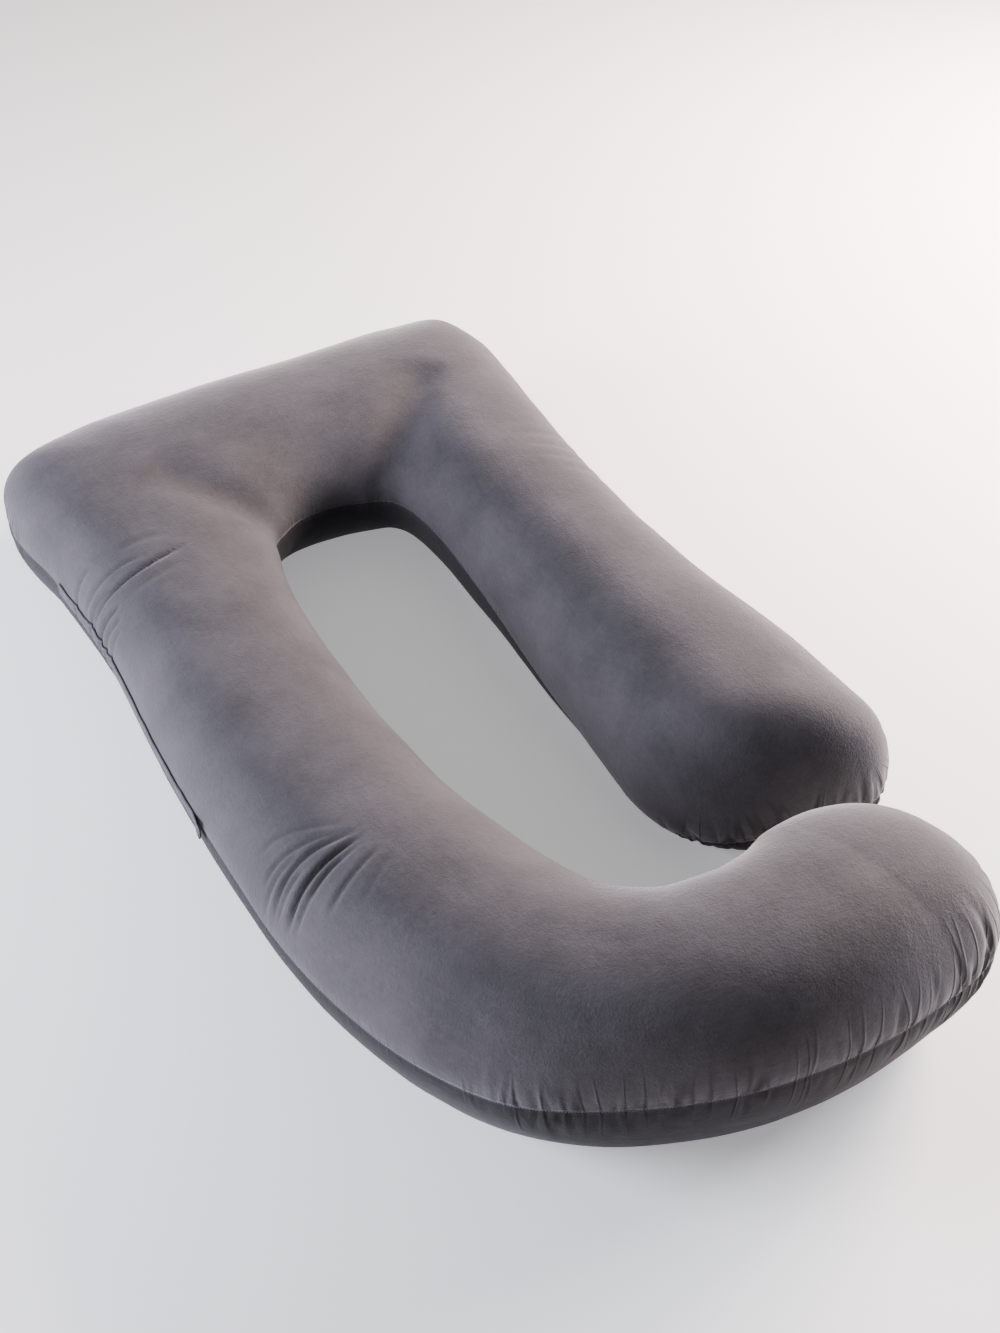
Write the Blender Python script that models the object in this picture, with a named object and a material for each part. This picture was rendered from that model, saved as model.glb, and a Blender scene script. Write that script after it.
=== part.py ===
"""A full-length pregnancy pillow: one filled cushion bent round into a hook-ended U, lying flat.

Metres, +Z up. +Y points to the closed head end, +X to the side of the short arm, and the origin is
the middle of the footprint, on the surface that the pillow lies on.

Two shaped panels of velvet meet in one seam round the side, half way up, so the filled body is
described by sections laid across it. Each section runs from the outer seam to the inner seam, and
the sections follow each other from the open end of the short arm, round the head end and down the
long arm to the tip of the hook.
"""

import math
from collections import namedtuple

import bmesh
import bpy
import numpy as np
from mathutils import kdtree

# The sections, in metres, with +Y to the head end and the foot of the hook at y = 0. crown is the
# height of the top, seam that of the widest line, where the side seam runs. On the inner side of
# the short arm the seam is rolled under, by the degrees in tuck.
Section = namedtuple("Section", "outer_x outer_y inner_x inner_y crown seam tuck")
SECTIONS = (
    Section(0.409, 0.385, 0.105, 0.495, 0.236, 0.112, 34),  # short arm, its open end
    Section(0.395, 0.525, 0.110, 0.595, 0.237, 0.120, 30),
    Section(0.375, 0.685, 0.115, 0.705, 0.232, 0.118, 18),
    Section(0.370, 0.920, 0.125, 0.870, 0.224, 0.114, 6),
    Section(0.385, 1.120, 0.125, 1.005, 0.221, 0.112, 0),
    Section(0.400, 1.245, 0.120, 1.065, 0.218, 0.110, 0),
    Section(0.405, 1.350, 0.110, 1.095, 0.217, 0.110, 0),  # first corner of the head end
    Section(0.380, 1.430, 0.095, 1.110, 0.216, 0.110, 0),
    Section(0.290, 1.450, 0.070, 1.120, 0.215, 0.110, 0),
    Section(0.145, 1.455, 0.040, 1.130, 0.214, 0.110, 0),
    Section(-0.120, 1.455, -0.025, 1.130, 0.215, 0.110, 0),
    Section(-0.265, 1.450, -0.055, 1.115, 0.216, 0.110, 0),
    Section(-0.365, 1.415, -0.080, 1.095, 0.213, 0.110, 0),  # second corner of the head end
    Section(-0.395, 1.325, -0.090, 1.060, 0.212, 0.110, 0),
    Section(-0.380, 1.190, -0.105, 1.005, 0.213, 0.110, 0),
    Section(-0.370, 1.030, -0.115, 0.935, 0.214, 0.110, 0),  # long arm
    Section(-0.380, 0.800, -0.120, 0.800, 0.217, 0.110, 0),
    Section(-0.380, 0.585, -0.115, 0.645, 0.222, 0.111, 0),
    Section(-0.375, 0.465, -0.105, 0.550, 0.228, 0.111, 0),
    Section(-0.355, 0.350, -0.085, 0.460, 0.236, 0.114, 0),
    Section(-0.315, 0.235, -0.065, 0.380, 0.244, 0.120, 0),  # the bend into the hook
    Section(-0.260, 0.145, -0.040, 0.315, 0.252, 0.132, 0),
    Section(-0.170, 0.075, -0.005, 0.275, 0.262, 0.147, 0),
    Section(-0.060, 0.025, 0.035, 0.260, 0.270, 0.155, 0),
    Section(0.060, 0.003, 0.075, 0.258, 0.272, 0.155, 0),
    Section(0.150, 0.003, 0.110, 0.265, 0.270, 0.150, 0),
    Section(0.210, 0.010, 0.135, 0.275, 0.267, 0.147, 0),  # the hook, before its round tip
)
SHORT_ARM_TIP = 0.112  # how far each round end reaches past its last section
SHORT_ARM_TIP_SEAM = 0.072  # height of the seam at the outermost point of each round end
HOOK_TIP = 0.150
HOOK_TIP_SEAM = 0.135

# The form of a section: powers over 2 make it squarer than an ellipse.
SIDE_POWER = 2.25
CROWN_POWER = 2.1
BASE_POWER = 2.3
TIP_POWER = 2.5
TIP_HEIGHT_POWER = 0.9
BASE_SAG = 0.12  # the part of the seam's height by which the filling presses past the surface

# Lengthwise mesh steps, by distance along the middle of the body.
Stretch = namedtuple("Stretch", "length step")
STRETCHES = (
    Stretch(0.110, 0.0160),  # puckers at the short arm's end
    Stretch(0.560, 0.0460),
    Stretch(0.240, 0.0300),  # first corner and its valley
    Stretch(0.280, 0.0460),
    Stretch(0.250, 0.0280),  # second corner
    Stretch(0.170, 0.0115),  # fan of folds below the head end
    Stretch(0.340, 0.0450),
    Stretch(0.200, 0.0100),  # folds in the bend
    Stretch(0.547, 0.0110),  # puckers round the hook
)
SHORT_ARM_TIP_STEPS = 18
HOOK_TIP_STEPS = 22
# Places round a section, in degrees from the outer seam (0) over the crown (90) to the inner seam.
RING = (0, 4, 11, 20, 31, 44, 58, 74, 90, 106, 122, 136, 149, 160, 169, 176)
RING += (180, 184, 191, 201, 213, 227, 242, 270, 298, 313, 327, 339, 349, 356)

SEAM_DEPTH = 0.006  # the seam pulls the sides in
SEAM_REACH = 0.006

# Folds that the filling leaves in the cover, each a soft trough through three points seen from
# above, with a low lip on each side.
Fold = namedtuple("Fold", "x0 y0 x1 y1 x2 y2 width depth")
FOLDS = (
    Fold(-0.262, 0.470, -0.327, 0.466, -0.368, 0.440, 0.009, 0.0075),  # the bend, from the well
    Fold(-0.262, 0.482, -0.328, 0.496, -0.374, 0.474, 0.009, 0.0060),
    Fold(-0.252, 0.440, -0.295, 0.432, -0.340, 0.406, 0.009, 0.0045),
    Fold(-0.266, 0.492, -0.322, 0.526, -0.368, 0.528, 0.009, 0.0040),
    Fold(-0.372, 1.046, -0.306, 1.038, -0.216, 1.054, 0.010, 0.0070),  # below the head end
    Fold(-0.374, 1.078, -0.333, 1.073, -0.262, 1.066, 0.009, 0.0055),
    Fold(-0.374, 1.110, -0.356, 1.110, -0.320, 1.106, 0.009, 0.0040),
    Fold(-0.372, 1.018, -0.352, 1.006, -0.318, 0.994, 0.009, 0.0040),
    Fold(0.120, 1.100, 0.185, 1.180, 0.255, 1.266, 0.036, 0.0110),  # valleys of the inner corners
    Fold(-0.090, 1.092, -0.150, 1.160, -0.215, 1.230, 0.034, 0.0090),
)
FOLD_SAMPLES = 40
FOLD_LIP = 0.45  # height of the lips over the depth of the trough
LIP_OFFSET = 1.9  # from the middle of the trough, in widths
FOLD_FADE = 0.035  # how far below the seam a fold dies out

# Groups of puckers across the side seam, seen from above: the cover is eased in most where the
# seam bends outwards. pitch is the distance from pucker to pucker, reach how far they run.
Puckers = namedtuple("Puckers", "x y radius pitch depth reach")
PUCKER_GROUPS = (
    Puckers(0.290, 0.095, 0.240, 0.046, 0.0060, 0.055),  # tip of the hook
    Puckers(-0.160, 0.060, 0.240, 0.048, 0.0040, 0.036),  # outside of the bend
    Puckers(0.275, 0.350, 0.200, 0.042, 0.0060, 0.052),  # end of the short arm
    Puckers(-0.385, 1.370, 0.110, 0.050, 0.0035, 0.030),  # corners of the head end
    Puckers(0.395, 1.370, 0.110, 0.050, 0.0035, 0.030),
)
PUCKER_CORE = 0.55  # the part of the radius in which they keep their full depth
PUCKER_WANDER = 1.1  # radians by which the puckers stray from an even pitch
WANDER_LENGTH = 0.290

# The flap over the zip covers the outer seam of the long arm between these y values. Across the
# seam it goes from the first row of mesh points under it to half way past the first row over it.
PLACKET_TOP = 1.165
PLACKET_FOOT = 0.665
PLACKET_THICKNESS = 0.0020
PLACKET_BULGE = 0.0015
PLACKET_LIP = 0.5  # the share of the way from the first row over the seam to the second
CLEARANCE = 0.0007

VELVET_GREY = (0.190, 0.182, 0.198, 1.0)
PLACKET_GREY = (0.140, 0.136, 0.150, 1.0)

TABLE = np.array(SECTIONS)
MIDDLES = (TABLE[:, 0:2] + TABLE[:, 2:4]) / 2
KNOTS = np.append(0.0, np.cumsum(np.linalg.norm(np.diff(MIDDLES, axis=0), axis=1)))
LENGTH = KNOTS[-1]  # from the first section to the last, along the middle of the body


def through_sections(distance):
    """The section values at each distance, on one smooth curve through the table."""
    slope = np.gradient(TABLE, KNOTS, axis=0)
    before = np.clip(np.searchsorted(KNOTS, distance, side="right") - 1, 0, len(KNOTS) - 2)
    step = (KNOTS[before + 1] - KNOTS[before])[:, None]
    f = (distance - KNOTS[before])[:, None] / step
    start = (2 * f**3 - 3 * f**2 + 1) * TABLE[before] + (f**3 - 2 * f**2 + f) * step * slope[before]
    end = (3 * f**2 - 2 * f**3) * TABLE[before + 1] + (f**3 - f**2) * step * slope[before + 1]
    return start + end


def unit(vectors):
    return vectors / np.maximum(np.linalg.norm(vectors, axis=-1, keepdims=True), 1e-9)


def smooth_body(distance, degrees):
    """Points of the unwrinkled body: a row for each distance along it, a column for each angle.

    Distances below 0 or past LENGTH lie on the round tips, each of which is 1 long here.
    """
    section = through_sections(np.clip(distance, 0.0, LENGTH))
    into_tip = np.clip(np.maximum(-distance, distance - LENGTH), 0.0, 1.0)
    at_start = (distance < 0)[:, None]
    start_ahead = SHORT_ARM_TIP * unit(MIDDLES[0] - MIDDLES[2])
    hook_ahead = HOOK_TIP * unit(MIDDLES[-1] - MIDDLES[-3])
    ahead = np.where(at_start, start_ahead, hook_ahead) * into_tip[:, None]
    narrowing = (1.0 - into_tip**TIP_POWER) ** (1.0 / TIP_POWER)
    lowering = (narrowing**TIP_HEIGHT_POWER)[:, None]

    middle = (section[:, 0:2] + section[:, 2:4]) / 2 + ahead
    half = (section[:, 0:2] - section[:, 2:4]) / 2 * narrowing[:, None]
    crown = section[:, 4:5]
    tip_seam = np.where(at_start, SHORT_ARM_TIP_SEAM, HOOK_TIP_SEAM)
    seam = section[:, 5:6] + (tip_seam - section[:, 5:6]) * (1.0 - soft(into_tip))[:, None]

    angle = np.radians(degrees)[None, :]
    angle = angle - np.radians(section[:, 6:7]) * np.minimum(np.cos(angle), 0.0)
    across = np.cos(angle)
    rise = np.abs(np.sin(angle))
    sideways = np.sign(across) * np.abs(across) ** (2 / SIDE_POWER)
    above = seam + (crown - seam) * lowering * rise ** (2 / CROWN_POWER)
    below = seam - seam * (1 + BASE_SAG) * lowering * rise ** (2 / BASE_POWER)
    height = np.where(np.sin(angle) >= 0, above, np.maximum(below, 0.0))
    plan = middle[:, None, :] + half[:, None, :] * sideways[:, :, None]
    return np.dstack([plan, height])


def outward(points):
    """The unit normals of a grid of points whose columns close into rings."""
    ringed = np.concatenate([points[:, -1:], points, points[:, :1]], axis=1)
    round_ring = ringed[:, 2:] - ringed[:, :-2]
    along_body = np.gradient(points, axis=0)
    return unit(np.cross(along_body, round_ring))


def along_line(line):
    return np.append(0.0, np.cumsum(np.linalg.norm(np.diff(line, axis=0), axis=1)))


def seam_line():
    """The closed side seam as a dense line, and the distance along it of each of its points."""
    into_tip = np.sin(np.linspace(0.0, math.pi / 2, 60))
    body = np.linspace(0.0, LENGTH, 900)
    distance = np.concatenate([-into_tip[::-1], body, LENGTH + into_tip])
    sides = smooth_body(distance, np.array([0.0, 180.0]))
    line = np.concatenate([sides[:, 0], sides[::-1, 1]])
    return line, along_line(line)


def nearest_on_seam(points):
    """For each point its distance from the side seam, and the place along the seam nearest it."""
    line, travelled = seam_line()
    tree = kdtree.KDTree(len(line))
    for index, place in enumerate(line):
        tree.insert(place, index)
    tree.balance()
    found = [tree.find(point) for point in points.reshape(-1, 3)]
    away = np.array([hit[2] for hit in found]).reshape(points.shape[:2])
    place = np.array([travelled[hit[1]] for hit in found]).reshape(points.shape[:2])
    return away, place


def soft(value):
    """1 at value 0 or less and 0 at 1 or more, with a smooth slope between."""
    t = np.clip(1.0 - value, 0.0, 1.0)
    return t * t * (3 - 2 * t)


def fold_relief(fold, plan):
    """Height that one fold adds at each place in plan: a trough between two low lips."""
    ends = np.array([[fold.x0, fold.y0], [fold.x1, fold.y1], [fold.x2, fold.y2]])
    t = np.linspace(0.0, 1.0, FOLD_SAMPLES)[:, None]
    control = 2 * ends[1] - (ends[0] + ends[2]) / 2
    line = (1 - t) ** 2 * ends[0] + 2 * t * (1 - t) * control + t**2 * ends[2]
    away = np.linalg.norm(plan[:, :, None, :] - line, axis=-1)
    nearest = away.argmin(axis=-1)
    r = away.min(axis=-1) / fold.width
    along = t[nearest, 0]
    taper = soft(abs(2 * along - 1) ** 3)
    trough = -np.exp(-(r**2))
    lips = FOLD_LIP * np.exp(-((r - LIP_OFFSET) ** 2))
    return fold.depth * taper * (trough + lips)


def pucker_relief(group, plan, away, place):
    """Height that a group of puckers takes off: valleys across the seam, deepest beside it."""
    from_middle = np.linalg.norm(plan - np.array([group.x, group.y]), axis=-1)
    strength = soft((from_middle / group.radius - PUCKER_CORE) / (1 - PUCKER_CORE))
    stray = PUCKER_WANDER * np.sin(2 * math.pi * place / WANDER_LENGTH)
    wave = 0.5 - 0.5 * np.cos(2 * math.pi * place / group.pitch + stray)
    return -group.depth * strength * wave * soft(away / group.reach)


def wrinkled_body(distance, degrees):
    """The body with its seam drawn in and its folds and puckers, and its normals."""
    points = smooth_body(distance, degrees)
    normals = outward(points)
    plan = points[:, :, 0:2]
    away, place = nearest_on_seam(points)
    relief = -SEAM_DEPTH * np.exp(-((away / SEAM_REACH) ** 2))
    seam_height = points[:, :1, 2]
    above_seam = soft((seam_height - points[:, :, 2]) / FOLD_FADE)
    for fold in FOLDS:
        relief += above_seam * fold_relief(fold, plan)
    for group in PUCKER_GROUPS:
        relief += pucker_relief(group, plan, away, place)
    resting = points[:, :, 2] <= 0.0
    points = points + normals * np.where(resting, 0.0, relief)[:, :, None]
    points[:, :, 2] = np.maximum(points[:, :, 2], 0.0)
    return points, normals


def body_distances():
    """The distances of all sections of the mesh, the tips' own points left out."""
    into_start = np.sin(math.pi / 2 * np.arange(SHORT_ARM_TIP_STEPS - 1, 0, -1) / SHORT_ARM_TIP_STEPS)
    into_hook = np.sin(math.pi / 2 * np.arange(1, HOOK_TIP_STEPS) / HOOK_TIP_STEPS)
    stations = [0.0]
    for stretch in STRETCHES:
        steps = round(stretch.length / stretch.step)
        stations.extend(stations[-1] + stretch.length / steps * np.arange(1, steps + 1))
    stations = np.array(stations) * LENGTH / stations[-1]
    return np.concatenate([-into_start, stations, LENGTH + into_hook])


def make_material(name, colour, roughness):
    material = bpy.data.materials.new(name)
    material.use_nodes = True
    shader = material.node_tree.nodes["Principled BSDF"]
    shader.inputs["Base Color"].default_value = colour
    shader.inputs["Roughness"].default_value = roughness
    shader.inputs["Metallic"].default_value = 0.0
    material.diffuse_color = colour
    return material


def add_object(name, mesh_data, material):
    mesh_data.normal_update()
    mesh = bpy.data.meshes.new(name)
    mesh_data.to_mesh(mesh)
    mesh_data.free()
    mesh.materials.append(material)
    mesh.shade_smooth()
    thing = bpy.data.objects.new(name, mesh)
    bpy.context.scene.collection.objects.link(thing)
    return thing


def bridge(mesh_data, first, second):
    """Triangles between two rings of the same number of points."""
    count = len(first)
    for i in range(count):
        j = (i + 1) % count
        mesh_data.faces.new((first[i], second[i], second[j]))
        mesh_data.faces.new((first[i], second[j], first[j]))


def fan(mesh_data, tip, ring):
    count = len(ring)
    for i in range(count):
        mesh_data.faces.new((tip, ring[i], ring[(i + 1) % count]))


def end_points():
    """The outermost point of each round end, where the seam crosses it, drawn in like the seam."""
    tips = smooth_body(np.array([-1.0, LENGTH + 1.0]), np.array([0.0]))[:, 0]
    crowns = smooth_body(np.array([0.0, LENGTH]), np.array([90.0]))[:, 0]
    away = unit((tips - crowns) * np.array([1.0, 1.0, 0.0]))
    return tips - SEAM_DEPTH * away


def build_pillow(points):
    centre = middle_of_footprint(points)
    mesh_data = bmesh.new()
    rings = [[mesh_data.verts.new(point - centre) for point in ring] for ring in points]
    start_tip, hook_tip = [mesh_data.verts.new(tip - centre) for tip in end_points()]
    for first, second in zip(rings, rings[1:]):
        bridge(mesh_data, first, second)
    fan(mesh_data, start_tip, rings[0])
    fan(mesh_data, hook_tip, rings[-1][::-1])
    bmesh.ops.recalc_face_normals(mesh_data, faces=mesh_data.faces)
    return add_object("pillow", mesh_data, make_material("grey velvet", VELVET_GREY, 0.85))


def build_placket(points, normals):
    """A thin flap bridging the drawn-in seam, from the row of points under it to its lip above."""
    centre = middle_of_footprint(points)
    seam_x, seam_y = points[:, 0, 0], points[:, 0, 1]
    covered = (seam_x < 0) & (seam_y <= PLACKET_TOP) & (seam_y >= PLACKET_FOOT)
    raised = points[covered] + normals[covered] * CLEARANCE
    away = [unit(normals[covered, column]) for column in (-1, 0, 1, 1)]
    foot, upper = raised[:, -1], raised[:, 1]
    middle = (foot + upper) / 2 + away[1] * PLACKET_BULGE
    lip = upper + (raised[:, 2] - upper) * PLACKET_LIP
    inside = [foot, middle, upper, lip]
    outside = [place + out * PLACKET_THICKNESS for place, out in zip(inside, away)]
    mesh_data = bmesh.new()
    rings = [
        [mesh_data.verts.new(place - centre) for place in ring]
        for ring in zip(*inside, *reversed(outside))
    ]
    for first, second in zip(rings, rings[1:]):
        bridge(mesh_data, first, second)
    mesh_data.faces.new(rings[0])
    mesh_data.faces.new(rings[-1][::-1])
    bmesh.ops.recalc_face_normals(mesh_data, faces=mesh_data.faces)
    placket_grey = make_material("velvet of the zip flap", PLACKET_GREY, 0.9)
    return add_object("zip_placket", mesh_data, placket_grey)


def middle_of_footprint(points):
    plan = points[:, :, 0:2].reshape(-1, 2)
    middle = (plan.min(axis=0) + plan.max(axis=0)) / 2
    return np.array([middle[0], middle[1], 0.0])


def build():
    for thing in list(bpy.data.objects):
        bpy.data.objects.remove(thing, do_unlink=True)
    points, normals = wrinkled_body(body_distances(), np.array(RING, dtype=float))
    build_pillow(points)
    build_placket(points, normals)


build()
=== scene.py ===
# %% [markdown]
# # A pregnancy pillow in grey velvet
#
# The real pillow is one long bag, sewn from an upper and a lower panel of short-pile velvet that
# are cut alike, turned through a zip in the side and filled with loose fibre. It is bent round so
# that a long arm, a square head end and a short arm enclose a well, and the long arm ends in a
# hook. In this lesson we make the filled cover, the seam with its stitches, the flap over the zip
# with its top-stitching, and the velvet itself.

# %% Open the frame
import math
from collections import namedtuple

import bpy
import numpy as np
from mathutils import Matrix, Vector, kdtree, noise


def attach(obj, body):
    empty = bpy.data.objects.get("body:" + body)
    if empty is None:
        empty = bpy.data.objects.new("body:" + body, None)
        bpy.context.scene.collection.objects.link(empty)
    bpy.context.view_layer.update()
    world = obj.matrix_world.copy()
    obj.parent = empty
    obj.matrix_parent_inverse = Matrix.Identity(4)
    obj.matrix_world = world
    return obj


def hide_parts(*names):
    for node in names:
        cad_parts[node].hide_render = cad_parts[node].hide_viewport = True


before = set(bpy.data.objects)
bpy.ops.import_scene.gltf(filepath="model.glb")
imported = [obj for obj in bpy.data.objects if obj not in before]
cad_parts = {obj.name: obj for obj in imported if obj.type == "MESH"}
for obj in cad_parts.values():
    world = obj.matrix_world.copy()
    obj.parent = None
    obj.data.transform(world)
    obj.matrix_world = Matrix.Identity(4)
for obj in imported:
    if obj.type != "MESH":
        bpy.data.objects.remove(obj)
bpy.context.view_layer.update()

# %% [markdown]
# ## Where we look from
#
# The pillow is seen from standing height, past its long arm, looking down by a little less than
# half a right angle. Two numbers turn the camera, one sets its lens, and three place it, so that
# is all that this cell holds. Rotation X of a Blender camera is 0 when it looks straight down.

# %% Camera
CAMERA_PLACE = (-0.733, -1.346, 1.639)
CAMERA_BELOW_LEVEL = 44.41
CAMERA_HEADING = 30.63
CAMERA_LENS_MM = 44.8


def add_camera():
    lens = bpy.data.cameras.new("standing_height")
    lens.lens = CAMERA_LENS_MM
    lens.sensor_width = 36.0
    camera = bpy.data.objects.new("standing_height", lens)
    turn = (math.radians(90 - CAMERA_BELOW_LEVEL), 0.0, math.radians(-CAMERA_HEADING))
    camera.rotation_euler = turn
    camera.location = CAMERA_PLACE
    bpy.context.scene.collection.objects.link(camera)
    bpy.context.scene.camera = camera
    return camera


camera = add_camera()
print("camera at", tuple(camera.location), "lens", camera.data.lens, "mm")

# %% [markdown]
# ## The filled body
#
# A real cover starts from the outline of one panel. We do nearly the same: the table gives cuts
# across the body, each from the outer seam to the inner seam, with the height of the crown and of
# the widest line there. A smooth curve through the cuts gives any cut in between. Round a cut, a
# squarish ellipse gives the plump side, and the part that would sink below the floor is pressed
# flat. The seam runs along the widest line, but the inner side of the short arm is rolled under by
# the degrees in the last column. This keeps every later step simple, because each point of the
# cover has two coordinates: its distance along the body and its angle round the cut.

# %% The cuts
Section = namedtuple("Section", "outer_x outer_y inner_x inner_y crown seam tuck")
SECTIONS = (
    Section(0.409, 0.385, 0.105, 0.495, 0.236, 0.112, 34),  # short arm, its open end
    Section(0.395, 0.525, 0.110, 0.595, 0.237, 0.120, 30),
    Section(0.375, 0.685, 0.115, 0.705, 0.232, 0.118, 18),
    Section(0.370, 0.920, 0.125, 0.870, 0.224, 0.114, 6),
    Section(0.385, 1.120, 0.125, 1.005, 0.221, 0.112, 0),
    Section(0.400, 1.245, 0.120, 1.065, 0.218, 0.110, 0),
    Section(0.405, 1.350, 0.110, 1.095, 0.217, 0.110, 0),  # first corner of the head end
    Section(0.380, 1.430, 0.095, 1.110, 0.216, 0.110, 0),
    Section(0.290, 1.450, 0.070, 1.120, 0.215, 0.110, 0),
    Section(0.145, 1.455, 0.040, 1.130, 0.214, 0.110, 0),
    Section(-0.120, 1.455, -0.025, 1.130, 0.215, 0.110, 0),
    Section(-0.265, 1.450, -0.055, 1.115, 0.216, 0.110, 0),
    Section(-0.365, 1.415, -0.080, 1.095, 0.213, 0.110, 0),  # second corner of the head end
    Section(-0.395, 1.325, -0.090, 1.060, 0.212, 0.110, 0),
    Section(-0.380, 1.190, -0.105, 1.005, 0.213, 0.110, 0),
    Section(-0.370, 1.030, -0.115, 0.935, 0.214, 0.110, 0),  # long arm
    Section(-0.380, 0.800, -0.120, 0.800, 0.217, 0.110, 0),
    Section(-0.380, 0.585, -0.115, 0.645, 0.222, 0.111, 0),
    Section(-0.375, 0.465, -0.105, 0.550, 0.228, 0.111, 0),
    Section(-0.355, 0.350, -0.085, 0.460, 0.236, 0.114, 0),
    Section(-0.315, 0.235, -0.065, 0.380, 0.244, 0.120, 0),  # the bend into the hook
    Section(-0.260, 0.145, -0.040, 0.315, 0.252, 0.132, 0),
    Section(-0.170, 0.075, -0.005, 0.275, 0.262, 0.147, 0),
    Section(-0.060, 0.025, 0.035, 0.260, 0.270, 0.155, 0),
    Section(0.060, 0.003, 0.075, 0.258, 0.272, 0.155, 0),
    Section(0.150, 0.003, 0.110, 0.265, 0.270, 0.150, 0),
    Section(0.210, 0.010, 0.135, 0.275, 0.267, 0.147, 0),  # the hook, before its round tip
)
SHORT_ARM_TIP = 0.112  # how far each round end reaches past its last cut
SHORT_ARM_TIP_SEAM = 0.072  # height of the seam at the outermost point of each round end
HOOK_TIP = 0.150
HOOK_TIP_SEAM = 0.135

TABLE = np.array(SECTIONS)
MIDDLES = (TABLE[:, 0:2] + TABLE[:, 2:4]) / 2
KNOTS = np.append(0.0, np.cumsum(np.linalg.norm(np.diff(MIDDLES, axis=0), axis=1)))
LENGTH = KNOTS[-1]
print(len(SECTIONS), "cuts,", round(LENGTH, 3), "m along the middle of the body")

# %% The surface between the cuts
SIDE_POWER = 2.25
CROWN_POWER = 2.1
BASE_POWER = 2.3
TIP_POWER = 2.5
TIP_HEIGHT_POWER = 0.9
BASE_SAG = 0.12
BASE_ROUNDING = 0.006  # metres over which the side rolls on to the floor


def through_sections(distance):
    """The cuts' values at each distance along the body, on a smooth curve through the table."""
    slope = np.gradient(TABLE, KNOTS, axis=0)
    before = np.clip(np.searchsorted(KNOTS, distance, side="right") - 1, 0, len(KNOTS) - 2)
    step = (KNOTS[before + 1] - KNOTS[before])[:, None]
    f = (distance - KNOTS[before])[:, None] / step
    start = (2 * f**3 - 3 * f**2 + 1) * TABLE[before] + (f**3 - 2 * f**2 + f) * step * slope[before]
    end = (3 * f**2 - 2 * f**3) * TABLE[before + 1] + (f**3 - f**2) * step * slope[before + 1]
    return start + end


def unit(vectors):
    return vectors / np.maximum(np.linalg.norm(vectors, axis=-1, keepdims=True), 1e-9)


def soft(value):
    """1 at value 0 or less and 0 at 1 or more, with a smooth slope between."""
    t = np.clip(1.0 - value, 0.0, 1.0)
    return t * t * (3 - 2 * t)


def smooth_body(distance, degrees):
    """A grid of points: one row for each distance, one column for each angle.

    A distance below 0 or past LENGTH is on a round end, which is 1 long in this coordinate.
    """
    section = through_sections(np.clip(distance, 0.0, LENGTH))
    into_tip = np.clip(np.maximum(-distance, distance - LENGTH), 0.0, 1.0)
    at_start = (distance < 0)[:, None]
    start_ahead = SHORT_ARM_TIP * unit(MIDDLES[0] - MIDDLES[2])
    hook_ahead = HOOK_TIP * unit(MIDDLES[-1] - MIDDLES[-3])
    ahead = np.where(at_start, start_ahead, hook_ahead) * into_tip[:, None]
    narrowing = (1.0 - into_tip**TIP_POWER) ** (1.0 / TIP_POWER)
    lowering = (narrowing**TIP_HEIGHT_POWER)[:, None]

    middle = (section[:, 0:2] + section[:, 2:4]) / 2 + ahead
    half = (section[:, 0:2] - section[:, 2:4]) / 2 * narrowing[:, None]
    crown = section[:, 4:5]
    tip_seam = np.where(at_start, SHORT_ARM_TIP_SEAM, HOOK_TIP_SEAM)
    seam = section[:, 5:6] + (tip_seam - section[:, 5:6]) * (1.0 - soft(into_tip))[:, None]

    angle = np.radians(degrees)[None, :]
    angle = angle - np.radians(section[:, 6:7]) * np.minimum(np.cos(angle), 0.0)
    across = np.cos(angle)
    rise = np.abs(np.sin(angle))
    sideways = np.sign(across) * np.abs(across) ** (2 / SIDE_POWER)
    above = seam + (crown - seam) * lowering * rise ** (2 / CROWN_POWER)
    below = seam - seam * (1 + BASE_SAG) * lowering * rise ** (2 / BASE_POWER)
    pressed = (below + np.sqrt(below**2 + BASE_ROUNDING**2)) / 2
    height = np.where(np.sin(angle) >= 0, above, pressed)
    plan = middle[:, None, :] + half[:, None, :] * sideways[:, :, None]
    return np.dstack([plan, height])


# %% [markdown]
# ## A mesh that is fine where the cover puckers
#
# Puckers are a centimetre or two wide, so they need points every few millimetres, but the plain
# stretches of the arms don't. The rows of points therefore stand closer at the ends, in the bend
# and round the hook, and the columns stand closer beside the seam.

# %% Rows and columns of the mesh
Stretch = namedtuple("Stretch", "length step")
STRETCHES = (
    Stretch(0.110, 0.0030),  # end of the short arm
    Stretch(0.560, 0.0080),
    Stretch(0.240, 0.0062),  # first corner
    Stretch(0.280, 0.0085),
    Stretch(0.250, 0.0055),  # second corner
    Stretch(0.180, 0.0030),  # fan of folds below the head end
    Stretch(0.330, 0.0080),
    Stretch(0.200, 0.0028),  # folds in the bend
    Stretch(0.547, 0.0026),  # round the hook
)
SHORT_ARM_TIP_STEPS = 60
HOOK_TIP_STEPS = 80
COLUMNS_ABOVE = 116
COLUMNS_BELOW = 66
CROWDING = 0.62  # 0 spaces the columns evenly in angle, 1 crowds them most beside the seam


def body_rows():
    """Distances along the body; those on a round end crowd towards its outermost point."""
    into_start = np.sin(math.pi / 2 * np.arange(SHORT_ARM_TIP_STEPS - 1, 0, -1) / SHORT_ARM_TIP_STEPS)
    into_hook = np.sin(math.pi / 2 * np.arange(1, HOOK_TIP_STEPS) / HOOK_TIP_STEPS)
    rows = [0.0]
    for stretch in STRETCHES:
        steps = round(stretch.length / stretch.step)
        rows.extend(rows[-1] + stretch.length / steps * np.arange(1, steps + 1))
    rows = np.array(rows) * LENGTH / rows[-1]
    return np.concatenate([-into_start, rows, LENGTH + into_hook])


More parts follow.
